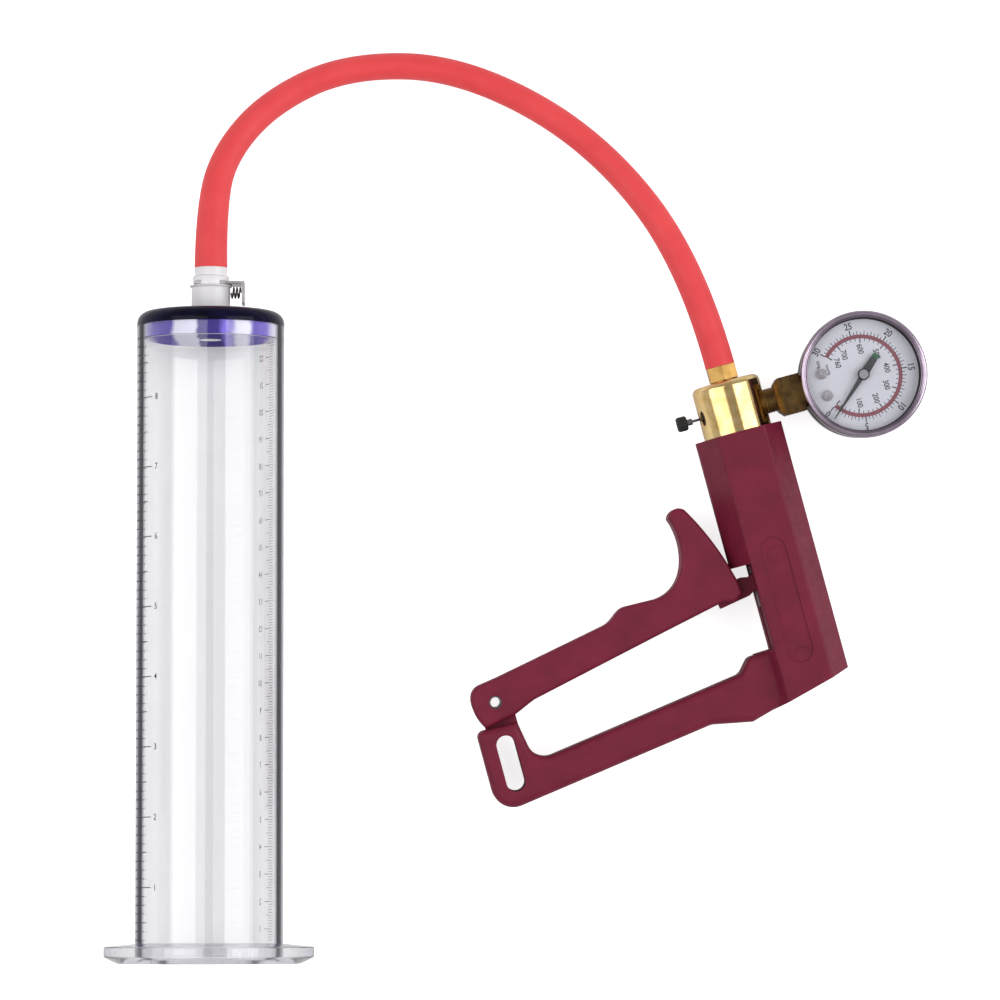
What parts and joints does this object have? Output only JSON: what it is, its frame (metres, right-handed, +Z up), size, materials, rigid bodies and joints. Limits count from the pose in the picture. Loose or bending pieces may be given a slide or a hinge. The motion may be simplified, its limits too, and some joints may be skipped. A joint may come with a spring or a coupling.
{
  "type": "hand vacuum pump",
  "caption": "Trigger-lever hand vacuum pump with dial gauge and release valve, joined by a rubber hose and quick coupling to a flanged clear graduated cylinder.",
  "frame": {"origin": "on the table under the middle of the set's box, the hose left out", "axes": "+Z up, +Y from the clear cylinder's open mouth towards its cap, +X towards the pump"},
  "size_m": [0.3014, 0.3373, 0.0768],
  "materials": {
    "clear_acrylic": "clear cast acrylic, polished",
    "dark_acrylic": "near-black navy, polished",
    "violet_cement": "translucent violet",
    "white_acetal": "white, satin",
    "stainless": "stamped stainless",
    "spring_steel": "drawn wire",
    "black_rubber": "moulded seal",
    "hose_rubber": "red, smooth",
    "brass": "turned and polished",
    "dark_brass": "tarnished",
    "casing_plastic": "maroon, fine grain",
    "lever_plastic": "maroon, fine grain",
    "black_plastic": "black, knurled",
    "inner_plastic": "natural, unfilled",
    "chrome": "plated",
    "case_metal": "dark smoky enamel",
    "lens": "clear window",
    "dial": "light grey-blue, printed",
    "pointer_paint": "black, satin"
  },
  "bodies": {
    "cylinder": {"cylinder_tube": "clear_acrylic", "cylinder_flange": "clear_acrylic", "cylinder_cap": "dark_acrylic", "cap_plug": "violet_cement", "coupling_body": "white_acetal", "coupling_gasket": "black_rubber"},
    "latch": {"coupling_latch": "stainless", "latch_spring": "spring_steel"},
    "pump": {"coupling_insert": "white_acetal", "insert_seal_ring": "black_rubber", "hose": "hose_rubber", "brass_head": "brass", "head_gasket": "black_rubber", "valve_seat": "inner_plastic", "inlet_valve": "black_rubber", "barb_gasket": "black_rubber", "hose_barb": "brass", "release_spring": "spring_steel", "casing": "casing_plastic", "barrel_liner": "inner_plastic", "rod_guide": "inner_plastic", "return_spring": "spring_steel", "pivot_pin": "stainless", "gauge_socket": "dark_brass", "gauge_case": "case_metal", "gauge_bezel": "chrome", "gauge_lens": "lens", "gauge_dial": "dial", "dial_screws": "chrome", "bourdon_tube": "brass", "movement_frame": "brass"},
    "release": {"release_pin": "stainless", "release_seal": "black_rubber", "release_knob": "black_plastic"},
    "piston_unit": {"piston": "inner_plastic", "piston_seal": "black_rubber", "piston_screw": "stainless", "piston_rod": "inner_plastic"},
    "lever": {"lever": "lever_plastic"},
    "pointer_unit": {"pinion_shaft": "brass", "gauge_pointer": "pointer_paint", "pointer_hub": "chrome"},
    "sector": {"sector_gear": "brass"}
  },
  "joints": [
    {"name": "lever_squeeze", "type": "hinge", "parent": "pump", "child": "lever", "pos_m": [-0.00797, -0.03702, 0.0155], "axis": [0, 0, -1], "range_deg": [0, 11]},
    {"name": "piston_slide", "type": "slide", "parent": "pump", "child": "piston_unit", "axis": [0.2622, -0.965, 0], "range_m": [0, 0.0203], "stiffness_N_per_m": 700, "springref_m": -0.014, "deforming": ["return_spring"]},
    {"name": "release_press", "type": "slide", "parent": "pump", "child": "release", "axis": [0.965, 0.2622, 0], "range_m": [0, 0.0015], "stiffness_N_per_m": 500, "springref_m": -0.003, "deforming": ["release_spring"]},
    {"name": "cylinder_swivel", "type": "hinge", "parent": "pump", "child": "cylinder", "pos_m": [-0.1124, 0.1079, 0.02665], "axis": [0, 0.9988, -0.0498], "continuous": true},
    {"name": "latch_press", "type": "slide", "parent": "cylinder", "child": "latch", "axis": [-1, 0, 0], "range_m": [0, 0.0013], "stiffness_N_per_m": 800, "springref_m": -0.002, "deforming": ["latch_spring"]},
    {"name": "sector_swing", "type": "hinge", "parent": "pump", "child": "sector", "pos_m": [0.13758, 0.07334, 0.0155], "axis": [0, 0, -1], "range_deg": [0, 55], "stiffness_Nm_per_rad": 0.002},
    {"name": "pointer_turn", "type": "hinge", "parent": "pump", "child": "pointer_unit", "pos_m": [0.12737, 0.08349, 0.0155], "axis": [0, 0, 1], "range_deg": [0, 275]}
  ],
  "couplings": [
    {"joint": "piston_slide", "follows": "lever_squeeze", "m_per_rad": 0.10557},
    {"joint": "pointer_turn", "follows": "sector_swing", "ratio": 5}
  ]
}
